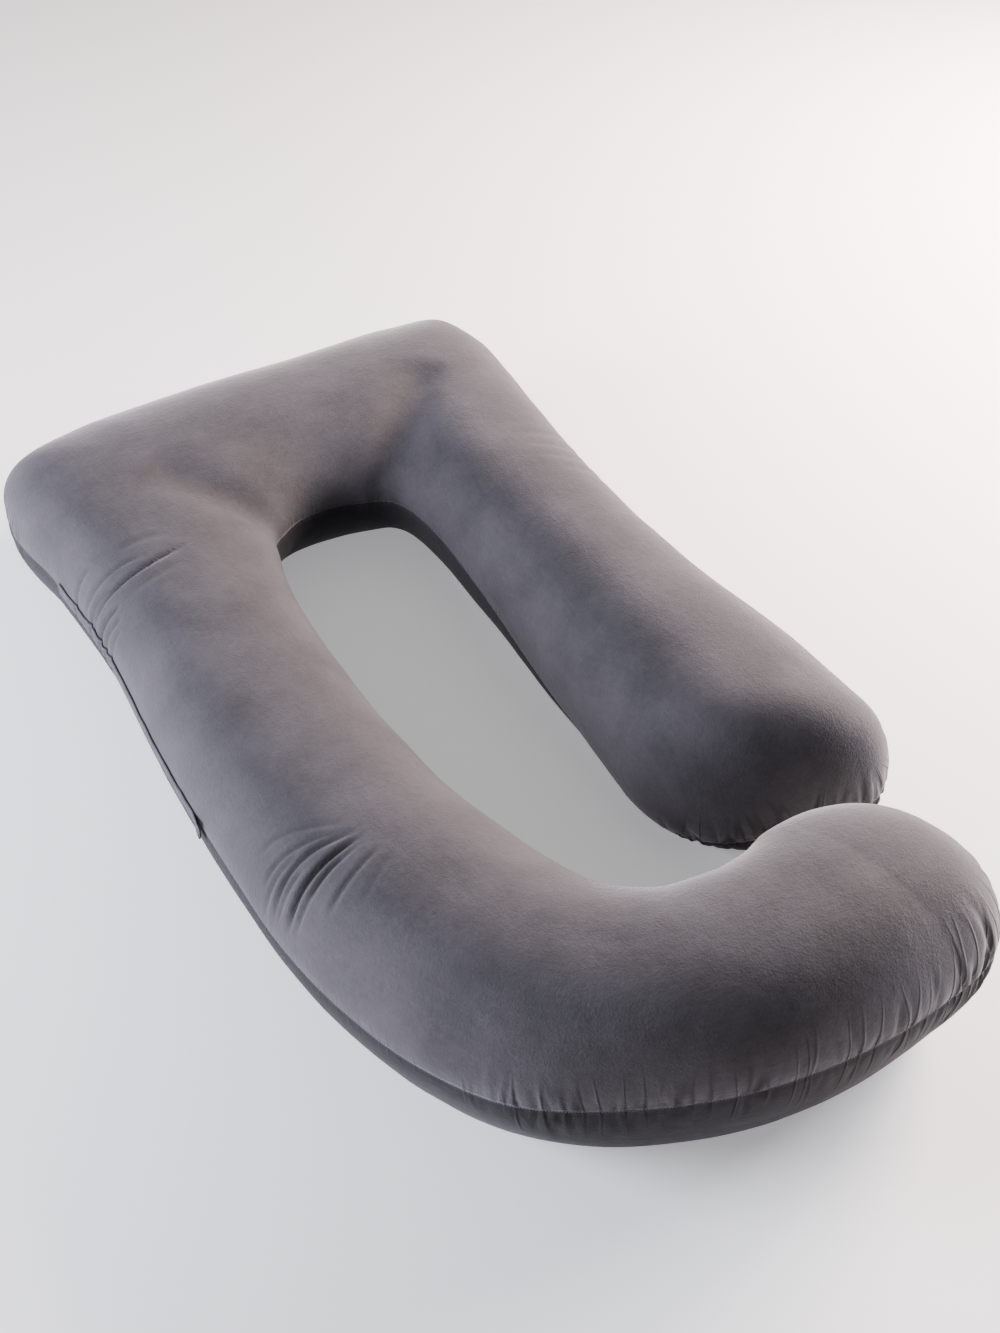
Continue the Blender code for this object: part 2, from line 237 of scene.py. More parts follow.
def crowded(count):
    """Angles of half a cut, from 0 up to but not including 180 degrees."""
    t = np.arange(count) / count
    return 180 * ((1 - CROWDING) * t + CROWDING * (0.5 - 0.5 * np.cos(math.pi * t)))


rows = body_rows()
columns = np.concatenate([crowded(COLUMNS_ABOVE), 180 + crowded(COLUMNS_BELOW)])
cover = smooth_body(rows, columns)
plan_low = cover[:, :, 0:2].reshape(-1, 2).min(axis=0)
plan_high = cover[:, :, 0:2].reshape(-1, 2).max(axis=0)
table_to_frame = np.array([*(-(plan_low + plan_high) / 2), 0.0])
print(len(rows), "rows of", len(columns), "points; the table moves by", table_to_frame.round(4))

# %% [markdown]
# ## Where each point lies from the seam
#
# Gathers and the drawn-in side all depend on the seam: how far away it is, and how far round it we
# have come. A k-d tree finds the nearest seam point for every point of the cover in one go.

# %% Distance to the seam
TIP_SEAM_POINTS = 700
SIDE_SEAM_POINTS = 7000


def outward(points):
    """Unit normals of a grid whose columns close into rings."""
    ringed = np.concatenate([points[:, -1:], points, points[:, :1]], axis=1)
    round_ring = ringed[:, 2:] - ringed[:, :-2]
    along_body = np.gradient(points, axis=0)
    return unit(np.cross(along_body, round_ring))


def seam_line():
    """Points every half millimetre or less along the seam, and how far along each one is."""
    into_tip = np.sin(np.linspace(0.0, math.pi / 2, TIP_SEAM_POINTS))
    on_arms = np.linspace(0.0, LENGTH, SIDE_SEAM_POINTS)
    distance = np.concatenate([-into_tip[::-1], on_arms, LENGTH + into_tip])
    sides = smooth_body(distance, np.array([0.0, 180.0]))
    line = np.concatenate([sides[:, 0], sides[::-1, 1]])
    travelled = np.append(0.0, np.cumsum(np.linalg.norm(np.diff(line, axis=0), axis=1)))
    return line, travelled


def nearest_on_seam(points, line, travelled):
    tree = kdtree.KDTree(len(line))
    for index, place in enumerate(line):
        tree.insert(place, index)
    tree.balance()
    found = [tree.find(point) for point in points.reshape(-1, 3)]
    away = np.array([hit[2] for hit in found]).reshape(points.shape[:2])
    place = np.array([travelled[hit[1]] for hit in found]).reshape(points.shape[:2])
    return away, place


normals = outward(cover)
seam, seam_travelled = seam_line()
seam_away, seam_place = nearest_on_seam(cover, seam, seam_travelled)
on_upper = np.broadcast_to(columns[None, :] <= 180, seam_away.shape)
print("the side seam is", round(float(seam_travelled[-1]), 2), "m long")

# %% [markdown]
# ## Gathers across the seam
#
# Where the outline bends outwards, the flat panels have more cloth at the edge than the filled
# body needs, and the spare cloth stands in small flutes across the seam. They are short on the
# gentle bends and long round the tip of the hook. Each flute is a soft valley with low lips: its
# place, depth, reach and lean vary a little, from a generator with a fixed seed.

# %% Gathers
Gather = namedtuple("Gather", "x y radius pitch width depth reach")
GATHERS = (
    Gather(0.300, 0.040, 0.190, 0.0130, 0.0022, 0.0040, 0.110),  # tip of the hook
    Gather(0.120, 0.020, 0.200, 0.0140, 0.0024, 0.0024, 0.070),  # foot of the hook
    Gather(-0.160, 0.070, 0.240, 0.0110, 0.0022, 0.0026, 0.050),  # outside of the bend
    Gather(0.270, 0.350, 0.230, 0.0160, 0.0026, 0.0050, 0.064),  # end of the short arm
    Gather(-0.385, 1.370, 0.150, 0.0120, 0.0026, 0.0026, 0.045),  # corners of the head end
    Gather(0.395, 1.370, 0.120, 0.0160, 0.0030, 0.0018, 0.035),
)
GATHER_CORE = 0.5  # share of the radius within which a gather has its full strength
LOWER_SHARE = 0.8  # gathers below the seam are a little shallower
LIP_HEIGHT = 0.10  # of the valley's depth
LIP_OFFSET = 2.2  # widths from the valley's bottom to the top of its lip
SEAM_CALM = 0.004  # metres beside the seam within which the stitches hold the cloth flat
FLUTE_SPREAD = 0.045  # how much wider a flute is for each metre from the seam
FLUTE_MARGIN = 0.07  # metres along the seam within which one flute is worked out
WEAKEST = 0.02  # a gather weaker than this is left out
SHORTEST = 0.4  # share of its reach that the weakest gather keeps
LOWEST_DRAW = (0.6, 0.7, 0.35, 0.35, -0.30)  # step, width, depth and reach in shares, and lean
HIGHEST_DRAW = (1.4, 1.35, 1.3, 1.3, 0.30)


def trough(r):
    """The profile of a crease: a valley at r = 0 between two low lips."""
    return -np.exp(-(r**2)) + LIP_HEIGHT * np.exp(-((np.abs(r) - LIP_OFFSET) ** 2))


def strongest_gather(place):
    """How strongly the cloth is gathered at a place on the seam, and the gather that does it."""
    found = []
    for gather in GATHERS:
        away = math.dist(place, (gather.x, gather.y)) / gather.radius
        found.append((float(soft((away - GATHER_CORE) / (1 - GATHER_CORE))), gather))
    return max(found, key=lambda pair: pair[0])


def gather_relief(side, seed):
    """Height added to the cover by the gathers on one side of the seam, and their number."""
    draw = np.random.default_rng(seed)
    relief = np.zeros(seam_away.shape)
    travelled, made = 0.0, 0
    while travelled < seam_travelled[-1]:
        index = int(np.searchsorted(seam_travelled, travelled))
        strength, gather = strongest_gather(seam[index, 0:2])
        step, wide, deep, far, lean = draw.uniform(LOWEST_DRAW, HIGHEST_DRAW)
        if strength > WEAKEST:
            reach = gather.reach * far * (SHORTEST + (1 - SHORTEST) * strength)
            near = side & (seam_away < reach) & (np.abs(seam_place - travelled) < FLUTE_MARGIN)
            away = seam_away[near]
            width = gather.width * wide + FLUTE_SPREAD * away
            r = (seam_place[near] - travelled - lean * away) / width
            relief[near] += gather.depth * deep * strength * soft(away / reach) * trough(r)
            made += 1
        travelled += gather.pitch * step
    return relief * (1 - np.exp(-((seam_away / SEAM_CALM) ** 2))), made


upper_gathers, upper_count = gather_relief(on_upper, seed=11)
lower_gathers, lower_count = gather_relief(~on_upper, seed=23)
print(upper_count, "gathers above the seam and", lower_count, "below it")

# %% [markdown]
# Between these flutes the cloth has many fine creases, too thin for the mesh. They are left to the
# velvet's bump, and the velvet paints shade in them by darkening its colour. Two values on each
# point tell it where: how much the cover is gathered there, and a coordinate that runs round with
# the seam, drawn out across it, so that noise becomes creases.

# %% How much the cover is gathered
EVERYWHERE = 0.22  # a sewn seam puckers a little along its whole length
EVERYWHERE_REACH = 0.028
FINE_REACH = 1.15  # fine creases reach a little past the flutes
CREASE_STRETCH = 0.11  # how the crease pattern is drawn out away from the seam
EVERY_TENTH = slice(None, None, 10)  # of the seam's points is enough for a slow change


def fine_gathers():
    """How much each point is gathered, and a circle as long as the seam to draw creases on."""
    found = [strongest_gather(point) for point in seam[EVERY_TENTH, 0:2]]
    strength = np.array([max(amount, EVERYWHERE) for amount, _ in found])
    reach = np.array([max(amount * g.reach * FINE_REACH, EVERYWHERE_REACH) for amount, g in found])
    here = np.interp(seam_place, seam_travelled[EVERY_TENTH], strength)
    far = np.interp(seam_place, seam_travelled[EVERY_TENTH], reach)
    radius = seam_travelled[-1] / (2 * math.pi)
    turn = seam_place / radius
    circle = [radius * np.cos(turn), radius * np.sin(turn), seam_away * CREASE_STRETCH]
    return here * soft(seam_away / far), np.stack(circle, -1)


gathered, round_seam = fine_gathers()
print("fine creases on", round(100 * float((gathered > 0.05).mean())), "% of the points")

# %% [markdown]
# ## Folds where the body bends
#
# Where a filled tube is bent, its inner side has too much cloth and throws folds across. The table
# names three points of each fold as seen from above, and the crease runs on a smooth curve through
# them. Wide, shallow entries make the valleys of the two inner corners. Little light reaches the
# bottom of a narrow fold, so each point also keeps how deep in such a fold it lies, and the velvet
# paints shade there by darkening its colour.

# %% Folds
Fold = namedtuple("Fold", "x0 y0 x1 y1 x2 y2 width depth")
FOLDS = (
    Fold(-0.250, 0.470, -0.327, 0.466, -0.368, 0.446, 0.0036, 0.0056),  # the bend, from the well
    Fold(-0.252, 0.476, -0.328, 0.492, -0.376, 0.473, 0.0036, 0.0040),
    Fold(-0.252, 0.464, -0.324, 0.452, -0.365, 0.434, 0.0030, 0.0030),
    Fold(-0.246, 0.446, -0.295, 0.430, -0.333, 0.412, 0.0034, 0.0024),
    Fold(-0.256, 0.482, -0.329, 0.511, -0.368, 0.510, 0.0030, 0.0026),
    Fold(-0.258, 0.490, -0.315, 0.530, -0.356, 0.542, 0.0036, 0.0018),
    Fold(-0.328, 0.480, -0.350, 0.478, -0.372, 0.468, 0.0028, 0.0026),
    Fold(-0.320, 0.500, -0.352, 0.501, -0.378, 0.494, 0.0030, 0.0020),
    Fold(-0.288, 0.460, -0.313, 0.457, -0.340, 0.446, 0.0026, 0.0018),
    Fold(-0.240, 0.430, -0.272, 0.412, -0.300, 0.392, 0.0040, 0.0010),
    Fold(-0.376, 1.050, -0.306, 1.040, -0.218, 1.054, 0.0036, 0.0044),  # below the head end
    Fold(-0.376, 1.074, -0.333, 1.070, -0.280, 1.062, 0.0034, 0.0026),
    Fold(-0.380, 1.060, -0.356, 1.054, -0.330, 1.046, 0.0030, 0.0030),
    Fold(-0.382, 1.034, -0.358, 1.020, -0.336, 1.012, 0.0032, 0.0034),
    Fold(-0.382, 1.016, -0.360, 1.003, -0.342, 0.996, 0.0030, 0.0026),
    Fold(-0.382, 0.990, -0.364, 0.985, -0.350, 0.982, 0.0030, 0.0020),
    Fold(-0.382, 1.104, -0.360, 1.108, -0.340, 1.106, 0.0030, 0.0026),
    Fold(-0.330, 1.016, -0.290, 1.014, -0.240, 1.022, 0.0060, 0.0010),
    Fold(-0.320, 1.098, -0.280, 1.092, -0.236, 1.086, 0.0060, 0.0010),
    Fold(0.120, 1.100, 0.185, 1.180, 0.255, 1.266, 0.0360, 0.0110),  # inner corners
    Fold(-0.090, 1.092, -0.150, 1.160, -0.215, 1.230, 0.0340, 0.0090),
    Fold(0.392, 1.015, 0.330, 1.020, 0.262, 1.032, 0.0060, 0.0016),  # outside of the short arm
    Fold(0.392, 0.985, 0.336, 0.988, 0.270, 1.002, 0.0060, 0.0018),
    Fold(0.392, 0.952, 0.330, 0.958, 0.262, 0.974, 0.0060, 0.0016),
    Fold(0.392, 0.918, 0.340, 0.922, 0.285, 0.936, 0.0060, 0.0012),
)
FOLD_SAMPLES = 40
FOLD_FADE = 0.045  # how far below the seam a fold dies out
FOLD_MARGIN = 4.0  # widths on each side within which a fold is worked out
NARROW = 0.008  # a wider fold isn't darker at its bottom
DARKEST_DEPTH = 0.0045  # metres deep in a fold where the velvet is darkest
DARKENING_POWER = 1.5


def fold_relief(fold, plan):
    """The height that a fold adds to the cover."""
    ends = np.array([[fold.x0, fold.y0], [fold.x1, fold.y1], [fold.x2, fold.y2]])
    t = np.linspace(0.0, 1.0, FOLD_SAMPLES)[:, None]
    control = 2 * ends[1] - (ends[0] + ends[2]) / 2
    line = (1 - t) ** 2 * ends[0] + 2 * t * (1 - t) * control + t**2 * ends[2]
    margin = FOLD_MARGIN * fold.width
    low, high = line.min(axis=0) - margin, line.max(axis=0) + margin
    near = ((plan > low) & (plan < high)).all(axis=-1)
    start, way = line[:-1], np.diff(line, axis=0)
    to_point = plan[near][:, None, :] - start
    share = np.clip((to_point * way).sum(-1) / (way**2).sum(-1), 0.0, 1.0)
    gap = np.linalg.norm(to_point - share[..., None] * way, axis=-1)
    nearest = gap.argmin(axis=1)
    along = (nearest + share[np.arange(len(nearest)), nearest]) / len(way)
    taper = soft(np.abs(2 * along - 1) ** 3)
    relief = np.zeros(plan.shape[:2])
    relief[near] = fold.depth * taper * trough(gap.min(axis=1) / fold.width)
    return relief


seam_height = cover[:, :1, 2]
plan = cover[:, :, 0:2]
above_seam = soft((seam_height - cover[:, :, 2]) / FOLD_FADE)
narrow_folds = above_seam * sum(fold_relief(f, plan) for f in FOLDS if f.width < NARROW)
wide_folds = above_seam * sum(fold_relief(f, plan) for f in FOLDS if f.width >= NARROW)
folds = narrow_folds + wide_folds
# Painted shade: how deep each point lies in a narrow fold, for the velvet to darken its colour.
painted_fold_shade = np.clip(-narrow_folds / DARKEST_DEPTH, 0.0, 1.0) ** DARKENING_POWER
print(len(FOLDS), "folds, the deepest", round(-1000 * float(folds.min()), 1), "mm")

# %% [markdown]
# ## Fibre is never even
#
# Loose fibre packs a little unevenly, so a real pillow has slow swells under the cover, with small
# hollows on them. Perlin noise from `mathutils.noise`, read at each point, adds a few millimetres.

# %% Swells of the filling
SWELLS = ((0.160, 0.0026), (0.060, 0.0008), (0.024, 0.00022))  # size and height in metres


def swell_relief(points):
    height = np.zeros(len(points))
    for size, amount in SWELLS:
        height += amount * np.array([noise.noise(Vector(point) / size) for point in points])
    return height


swells = swell_relief(cover.reshape(-1, 3)).reshape(seam_away.shape)
print("swells from", round(1000 * float(swells.min()), 1), "to", round(1000 * float(swells.max()), 1), "mm")

# %% The wrinkled cover
SEAM_DEPTH = 0.0017
SEAM_REACH = 0.0028
SHOULDER_DEPTH = 0.0013  # beside the seam the stitched layers are stiffer and draw in gently
SHOULDER_REACH = 0.014
SWELL_REACH = 0.020  # metres from the seam to where the filling swells freely
FLOOR_REACH = 0.020  # height above the floor at which the cover wrinkles freely

groove = SEAM_DEPTH * np.exp(-((seam_away / SEAM_REACH) ** 2))
shoulder = SHOULDER_DEPTH * np.exp(-((seam_away / SHOULDER_REACH) ** 2))
gathers = upper_gathers + LOWER_SHARE * lower_gathers
free_swells = swells * (1 - np.exp(-seam_away / SWELL_REACH))
off_floor = 1.0 - soft(cover[:, :, 2] / FLOOR_REACH)
relief = -groove - shoulder + gathers + folds + free_swells
cover = cover + normals * (relief * off_floor)[:, :, None] + table_to_frame
cover[:, :, 2] = np.maximum(cover[:, :, 2], 0.0)
ends = smooth_body(np.array([-1.0, LENGTH + 1.0]), np.array([0.0]))[:, 0] + table_to_frame
for tip, ring in ((0, 0), (1, -1)):
    inwards = unit((cover[ring].mean(axis=0) - ends[tip]) * np.array([1.0, 1.0, 0.0]))
    ends[tip] += (SEAM_DEPTH + SHOULDER_DEPTH) * inwards

# %% [markdown]
# ## From points to a mesh
#
# The grid closes round each cut and ends in one point at each tip. The mesh also carries what the
# velvet needs: a UV map in metres, along and round the body, for the brushed pile, and four values
# on each point: how far the seam is, how much the cloth is gathered, how deep in a fold it lies and
# where it is round the seam. The faces under the seam are remembered too: they get a darker copy
# of the velvet, painted shade on the lower panel.

# %% The pillow's mesh


def grid_faces(row_count, column_count):
    first = np.arange(row_count - 1)[:, None] * column_count
    here = np.arange(column_count)[None, :]
    after = (here + 1) % column_count
    second = first + column_count
    quads = np.stack([first + here, first + after, second + after, second + here], -1)
    return quads.reshape(-1, 4)


def uv_in_metres(points):
    """The along and round coordinates of each grid point, with one more column to close the ring."""
    closed = np.concatenate([points, points[:, :1]], axis=1)
    round_step = np.linalg.norm(np.diff(closed, axis=1), axis=2)
    round_it = np.concatenate([np.zeros((len(points), 1)), np.cumsum(round_step, axis=1)], axis=1)
    middle = points.mean(axis=1)
    along = np.append(0.0, np.cumsum(np.linalg.norm(np.diff(middle, axis=0), axis=1)))
    return np.broadcast_to(along[:, None], round_it.shape), round_it


def add_attribute(mesh, name, values):
    """A number or a vector on each point, for the materials to read."""
    kind, field = ("FLOAT", "value") if values.ndim == 1 else ("FLOAT_VECTOR", "vector")
    attribute = mesh.attributes.new(name, kind, "POINT")
    attribute.data.foreach_set(field, values.astype(np.float32).ravel())


def add_object(name, data):
    made = bpy.data.objects.new(name, data)
    bpy.context.scene.collection.objects.link(made)
    return made


def build_cover(points, tips):
    row_count, column_count = points.shape[:2]
    quads = grid_faces(row_count, column_count)
    start_index = row_count * column_count
    last_row = start_index - column_count
    here = np.arange(column_count)
    after = (here + 1) % column_count
    pairs = list(zip(here.tolist(), after.tolist()))
    start_fan = [(start_index, b, a) for a, b in pairs]
    hook_fan = [(start_index + 1, last_row + a, last_row + b) for a, b in pairs]
    mesh = bpy.data.meshes.new("pillow_cover")
    vertices = np.concatenate([points.reshape(-1, 3), tips])
    mesh.from_pydata(vertices.tolist(), [], quads.tolist() + start_fan + hook_fan)

    along, round_it = uv_in_metres(points)
    row = np.repeat(np.arange(row_count - 1), column_count)
    column = np.tile(here, row_count - 1)
    corner_rows = np.stack([row, row, row + 1, row + 1], -1)
    corner_columns = np.stack([column, column + 1, column + 1, column], -1)
    corners = (corner_rows, corner_columns)
    quad_uv = np.stack([along[corners], round_it[corners]], -1).reshape(-1, 2)
    fan_uv = [[along[r, 0], round_it[r, c]] for r in (0, -1) for c in here for _ in range(3)]
    uv = mesh.uv_layers.new(name="cloth_metres")
    uv.data.foreach_set("uv", np.concatenate([quad_uv, fan_uv]).astype(np.float32).ravel())
    add_attribute(mesh, "seam_away", np.append(seam_away.ravel(), [0.0, 0.0]))
    add_attribute(mesh, "gathered", np.append(gathered.ravel(), [1.0, 1.0]))
    add_attribute(mesh, "painted_fold_shade", np.append(painted_fold_shade.ravel(), [0.0, 0.0]))
    tip_places = round_seam[[0, -1], :1].reshape(2, 3)
    add_attribute(mesh, "round_seam", np.concatenate([round_seam.reshape(-1, 3), tip_places]))
    mesh.shade_smooth()
    return add_object("pillow_cover", mesh)


pillow = build_cover(cover, ends)
ring_is_lower = columns >= 180
lower_faces = np.concatenate([np.tile(ring_is_lower, len(rows) - 1), ring_is_lower, ring_is_lower])
print("pillow_cover:", len(pillow.data.vertices), "vertices")

# %% [markdown]
# ## Velvet
#
# Velvet of polyester knit: short dense pile, cut, brushed and heat-set. Two things give it its
# look. The pile's tips scatter light at grazing angles, which the Principled shader calls sheen,
# and wherever the pile was brushed another way the grey turns a little lighter or darker. So the
# material has a dull base, a sheen, soft patches, brush marks and crushed flecks, and a fine grain
# and thin creases as bump. Sizes are in millimetres and one helper turns them into noise scales.

# %% Helpers for materials


def to_linear(hex_colour):
    """An sRGB hex colour as linear red, green, blue and alpha."""
    channels = [int(hex_colour[i : i + 2], 16) / 255 for i in (1, 3, 5)]
    linear = [c / 12.92 if c <= 0.04045 else ((c + 0.055) / 1.055) ** 2.4 for c in channels]
    return (*linear, 1.0)


def per_mm(size_mm):
    """The noise scale whose features are about this size, for coordinates in metres."""
    return 1000.0 / size_mm


def add_node(tree, kind, inputs=None, **settings):
    """One node with its settings; an input is a value or the socket that feeds it."""
    node = tree.nodes.new(kind)
    for name, value in settings.items():
        setattr(node, name, value)
    for name, value in (inputs or {}).items():
        if isinstance(value, bpy.types.NodeSocket):
            tree.links.new(value, node.inputs[name])
        else:
            node.inputs[name].default_value = value
    return node


def new_material(name):
    material = bpy.data.materials.new(name)
    material.use_nodes = True
    tree = material.node_tree
    return material, tree, tree.nodes["Principled BSDF"]


# %% Grey velvet
VELVET_DARK = "#302e31"  # pile brushed away from the light
VELVET_LIGHT = "#4f4c50"  # pile brushed towards it
VELVET_PRESSED = "#302e34"  # pile flattened beside the seam
VELVET_CREASED = "#0d0c0e"  # the bottom of a crease, where little light falls
VELVET_SHEEN = "#d9d4da"
LOWER_SHADED_DARK = "#19171a"  # painted shade: the lower panel's darker copy of the velvet
LOWER_SHADED_LIGHT = "#2b292c"
PATCH_MM = 130.0  # a hand's sweep over the pile
STROKE_MM = 26.0  # a finger's stroke
BRUSH_LENGTH_MM = 70.0
BRUSH_WIDTH_MM = 7.0
CRUSH_MM = 9.0
PILE_MM = 2.6  # real pile is under half a millimetre, drawn as coarse as the render can show
PRESSED_MM = 9.0  # width of the pressed strip beside the stitches
PRESSED_MOST = 0.6
MARK_MM = 10.0  # length of a fleck left where the pile was crushed
MARK_CLUSTER_MM = 120.0
MARK_AMOUNT = 0.40
CREASE_MM = 13.0  # distance between two fine creases beside the seam
CREASE_SHARE = 0.05  # how thin they are
WANDER_MM = 240.0  # the brush strokes bend slowly, over this length
WANDER_BY = 0.10  # metres
SHADE_WEIGHTS = (0.36, 0.20, 0.08, 0.14, 0.22)  # patches, strokes, brush, crush and pile
CREASE_PAINTED_SHADE = 0.7
FOLD_PAINTED_SHADE = 0.9


def noise_factor(tree, vector, size_mm, detail, low, high):
    """Noise of one size, stretched so that low to high becomes 0 to 1."""
    inputs = {"Vector": vector, "Scale": per_mm(size_mm), "Detail": detail, "Roughness": 0.55}
    texture = add_node(tree, "ShaderNodeTexNoise", inputs)
    stretch = {"Value": texture.outputs["Fac"], "From Min": low, "From Max": high}
    return add_node(tree, "ShaderNodeMapRange", stretch).outputs["Result"]


def mixed(tree, factor, first, second):
    """A colour between two colours; the colour version of Mix has its sockets at 0, 6 and 7."""
    inputs = {0: factor, 6: first, 7: second}
    return add_node(tree, "ShaderNodeMix", inputs, data_type="RGBA").outputs[2]


def maths(tree, operation, first, second):
    return add_node(tree, "ShaderNodeMath", {0: first, 1: second}, operation=operation).outputs[0]


def bumped(tree, height, strength, distance, before=None):
    """A bump of a height in metres, on top of the bump that came before."""
    inputs = {"Height": height, "Strength": strength, "Distance": distance}
    if before is not None:
        inputs["Normal"] = before
    return add_node(tree, "ShaderNodeBump", inputs).outputs["Normal"]


def weighted_sum(tree, parts):
    total = 0.0
    for value, weight in parts:
        total = maths(tree, "ADD", total, maths(tree, "MULTIPLY", value, weight))
    return total


def brushed_vector(tree):
    """Coordinates along and across the brush strokes, from the UV map in metres."""
    uv = add_node(tree, "ShaderNodeUVMap", uv_map="cloth_metres").outputs["UV"]
    noise_inputs = {"Vector": uv, "Scale": per_mm(WANDER_MM), "Detail": 1.0}
    wander = add_node(tree, "ShaderNodeTexNoise", noise_inputs).outputs["Color"]
    by = (WANDER_BY, WANDER_BY, 0.0)
    small = add_node(tree, "ShaderNodeVectorMath", {0: wander, 1: by}, operation="MULTIPLY")
    bent = add_node(tree, "ShaderNodeVectorMath", {0: uv, 1: small.outputs[0]}, operation="ADD")
    stretch = (BRUSH_WIDTH_MM / BRUSH_LENGTH_MM, 1.0, 1.0)
    return add_node(tree, "ShaderNodeMapping", {"Vector": bent.outputs[0], "Scale": stretch}).outputs[0]


def fine_creases(tree):
    """1 on plain cloth and less in the thin creases beside the seam."""
    round_it = add_node(tree, "ShaderNodeAttribute", attribute_name="round_seam").outputs["Vector"]
    amount = add_node(tree, "ShaderNodeAttribute", attribute_name="gathered").outputs["Fac"]
    noise_inputs = {"Vector": round_it, "Scale": per_mm(2 * CREASE_MM), "Detail": 0.8}
    texture = add_node(tree, "ShaderNodeTexNoise", noise_inputs)
    ridge = maths(tree, "ABSOLUTE", maths(tree, "SUBTRACT", texture.outputs["Fac"], 0.5), 0.0)
    valley = add_node(tree, "ShaderNodeMapRange", {
        "Value": ridge, "From Min": 0.0, "From Max": CREASE_SHARE, "To Min": 1.0, "To Max": 0.0,
    }, interpolation_type="SMOOTHSTEP").outputs["Result"]
    return maths(tree, "SUBTRACT", 1.0, maths(tree, "MULTIPLY", valley, amount))


def crushed_marks(tree, place):
    """Up to 1 in sparse, ragged flecks where the pile was crushed and didn't stand up again."""
    flecks = noise_factor(tree, place, MARK_MM, 8.0, 0.50, 0.76)
    clusters = noise_factor(tree, place, MARK_CLUSTER_MM, 2.0, 0.46, 0.66)
    return maths(tree, "MULTIPLY", flecks, clusters)


def make_velvet(name, dark, light, sheen):
    material, tree, shader = new_material(name)
    place = add_node(tree, "ShaderNodeTexCoord").outputs["Object"]
    patches = noise_factor(tree, place, PATCH_MM, 2.0, 0.35, 0.65)
    strokes = noise_factor(tree, place, STROKE_MM, 4.0, 0.34, 0.66)
    brush = noise_factor(tree, brushed_vector(tree), BRUSH_WIDTH_MM, 3.0, 0.34, 0.68)
    crush = noise_factor(tree, place, CRUSH_MM, 5.0, 0.30, 0.70)
    pile = noise_factor(tree, place, PILE_MM, 2.0, 0.25, 0.75)

    shade = weighted_sum(tree, zip((patches, strokes, brush, crush, pile), SHADE_WEIGHTS))
    grey = mixed(tree, shade, to_linear(dark), to_linear(light))
    marks = crushed_marks(tree, place)
    grey = mixed(tree, maths(tree, "MULTIPLY", marks, MARK_AMOUNT), grey, to_linear(light))
    seam_away = add_node(tree, "ShaderNodeAttribute", attribute_name="seam_away").outputs["Fac"]
    pressed = add_node(tree, "ShaderNodeMapRange", {
        "Value": seam_away, "From Min": 0.0, "From Max": PRESSED_MM / 1000,
        "To Min": PRESSED_MOST, "To Max": 0.0,
    }, interpolation_type="SMOOTHSTEP").outputs["Result"]
    shaded = mixed(tree, pressed, grey, to_linear(VELVET_PRESSED))
    smooth = fine_creases(tree)
    painted_crease_shade = maths(tree, "SUBTRACT", 1.0, smooth)
    painted_fold_shade = add_node(tree, "ShaderNodeAttribute", attribute_name="painted_fold_shade").outputs["Fac"]
    # Painted shade: the colour turns nearly black in the fine creases and at the bottom of narrow folds.
    painted_shade = weighted_sum(tree, ((painted_crease_shade, CREASE_PAINTED_SHADE), (painted_fold_shade, FOLD_PAINTED_SHADE)))
    colour = mixed(tree, painted_shade, shaded, to_linear(VELVET_CREASED))
    tree.links.new(colour, shader.inputs["Base Color"])

    creased = bumped(tree, smooth, 1.0, 0.0016)
    crushed = bumped(tree, crush, 0.3, 0.0006, creased)
    brushed = bumped(tree, brush, 0.2, 0.0003, crushed)
    marked = bumped(tree, marks, 0.35, 0.0008, brushed)
    tree.links.new(bumped(tree, pile, 0.6, 0.0004, marked), shader.inputs["Normal"])
    rough = add_node(tree, "ShaderNodeMapRange", {"Value": strokes, "To Min": 0.78, "To Max": 0.92})
    tree.links.new(rough.outputs["Result"], shader.inputs["Roughness"])
    shader.inputs["Specular IOR Level"].default_value = 0.18
    shader.inputs["Sheen Weight"].default_value = sheen
    shader.inputs["Sheen Roughness"].default_value = 0.38
    shader.inputs["Sheen Tint"].default_value = to_linear(VELVET_SHEEN)
    return material


upper_velvet = make_velvet("velvet_of_polyester_knit", VELVET_DARK, VELVET_LIGHT, sheen=0.40)
# The lower panel gets a darker copy with less sheen: painted shade below the seam.
shaded_lower_velvet = make_velvet("velvet_with_painted_shade_below", LOWER_SHADED_DARK, LOWER_SHADED_LIGHT, sheen=0.14)
pillow.data.materials.append(upper_velvet)
pillow.data.materials.append(shaded_lower_velvet)
pillow.data.polygons.foreach_set("material_index", lower_faces.astype(np.int32))
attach(pillow, "root")
print("materials:", upper_velvet.name, "and", shaded_lower_velvet.name)

# %% [markdown]
# ## The flap over the zip
#
# The pillow is filled through a zip in the outer side of the long arm. A folded flap of the same
# velvet lies over it, so the zip itself never shows. It is a narrow strip, from 15 mm above the
# seam to 6 mm under it, a little thicker at its folded edges and flared where it ends. We lay a
# grid on the cover along the seam, so that it follows the body, and lift it off to make a strip.

